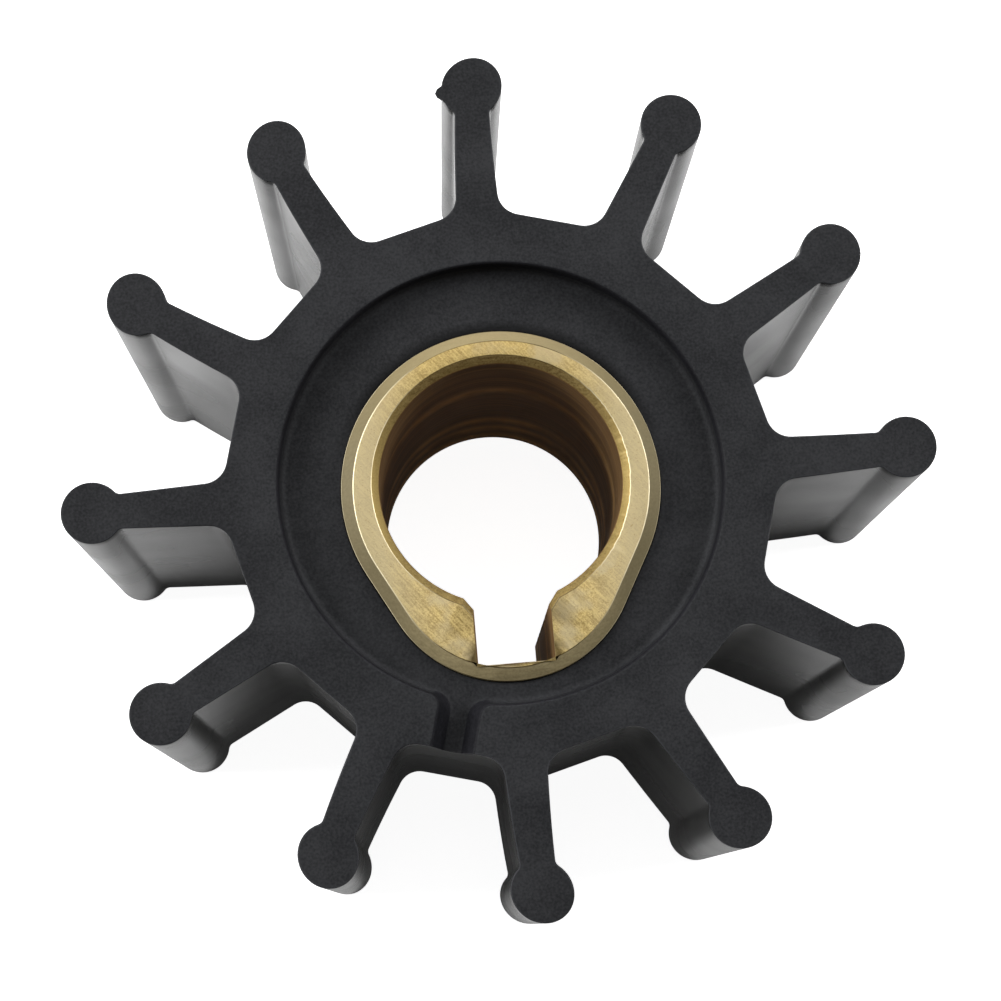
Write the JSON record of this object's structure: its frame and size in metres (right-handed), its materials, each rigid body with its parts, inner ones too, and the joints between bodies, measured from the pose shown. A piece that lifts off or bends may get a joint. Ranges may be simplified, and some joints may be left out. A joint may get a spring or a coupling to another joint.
{
  "type": "pump impeller",
  "caption": "Flexible rubber pump impeller: straight vanes with round tip beads on a short rim, bonded to a keyed brass insert with a through bore.",
  "frame": {"origin": "on the shaft axis at the back face, so the impeller lies on z = 0", "axes": "+Z along the shaft axis towards the front face, which has the relief channel; the keyway and one vane point to -Y"},
  "size_m": [0.0572, 0.0572, 0.0318],
  "materials": {
    "rubber": "matte moulded rubber",
    "brass": "machined brass"
  },
  "bodies": {
    "root": {"impeller_body": "rubber", "hub_insert": "brass"}
  },
  "joints": []
}
